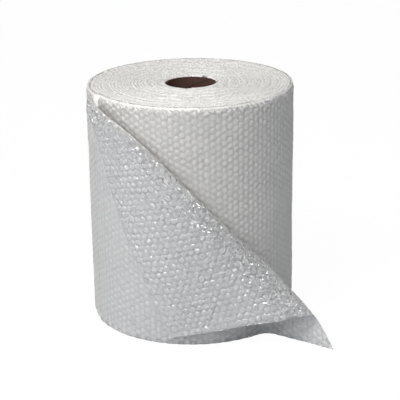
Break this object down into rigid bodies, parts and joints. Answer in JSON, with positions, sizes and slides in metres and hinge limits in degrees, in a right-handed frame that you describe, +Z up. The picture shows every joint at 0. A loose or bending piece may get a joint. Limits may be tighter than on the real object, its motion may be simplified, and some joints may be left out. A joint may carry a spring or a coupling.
{
  "type": "bubble wrap roll",
  "caption": "Standing roll of clear bubble wrap on a cardboard core, its loose end folded over across the front and flared out along the floor.",
  "frame": {"origin": "on the axis of the core's bore, at the floor the roll stands on", "axes": "+Z up along the roll's axis, -Y the front across which the loose end is folded, +X the side it flares out to"},
  "size_m": [0.3756, 0.3504, 0.375],
  "materials": {
    "kraft_core": "matte kraft paper",
    "bubble_film": "glossy clear film, milky in layers"
  },
  "bodies": {
    "root": {"core_tube": "kraft_core", "bubble_wrap": "bubble_film"}
  },
  "joints": []
}
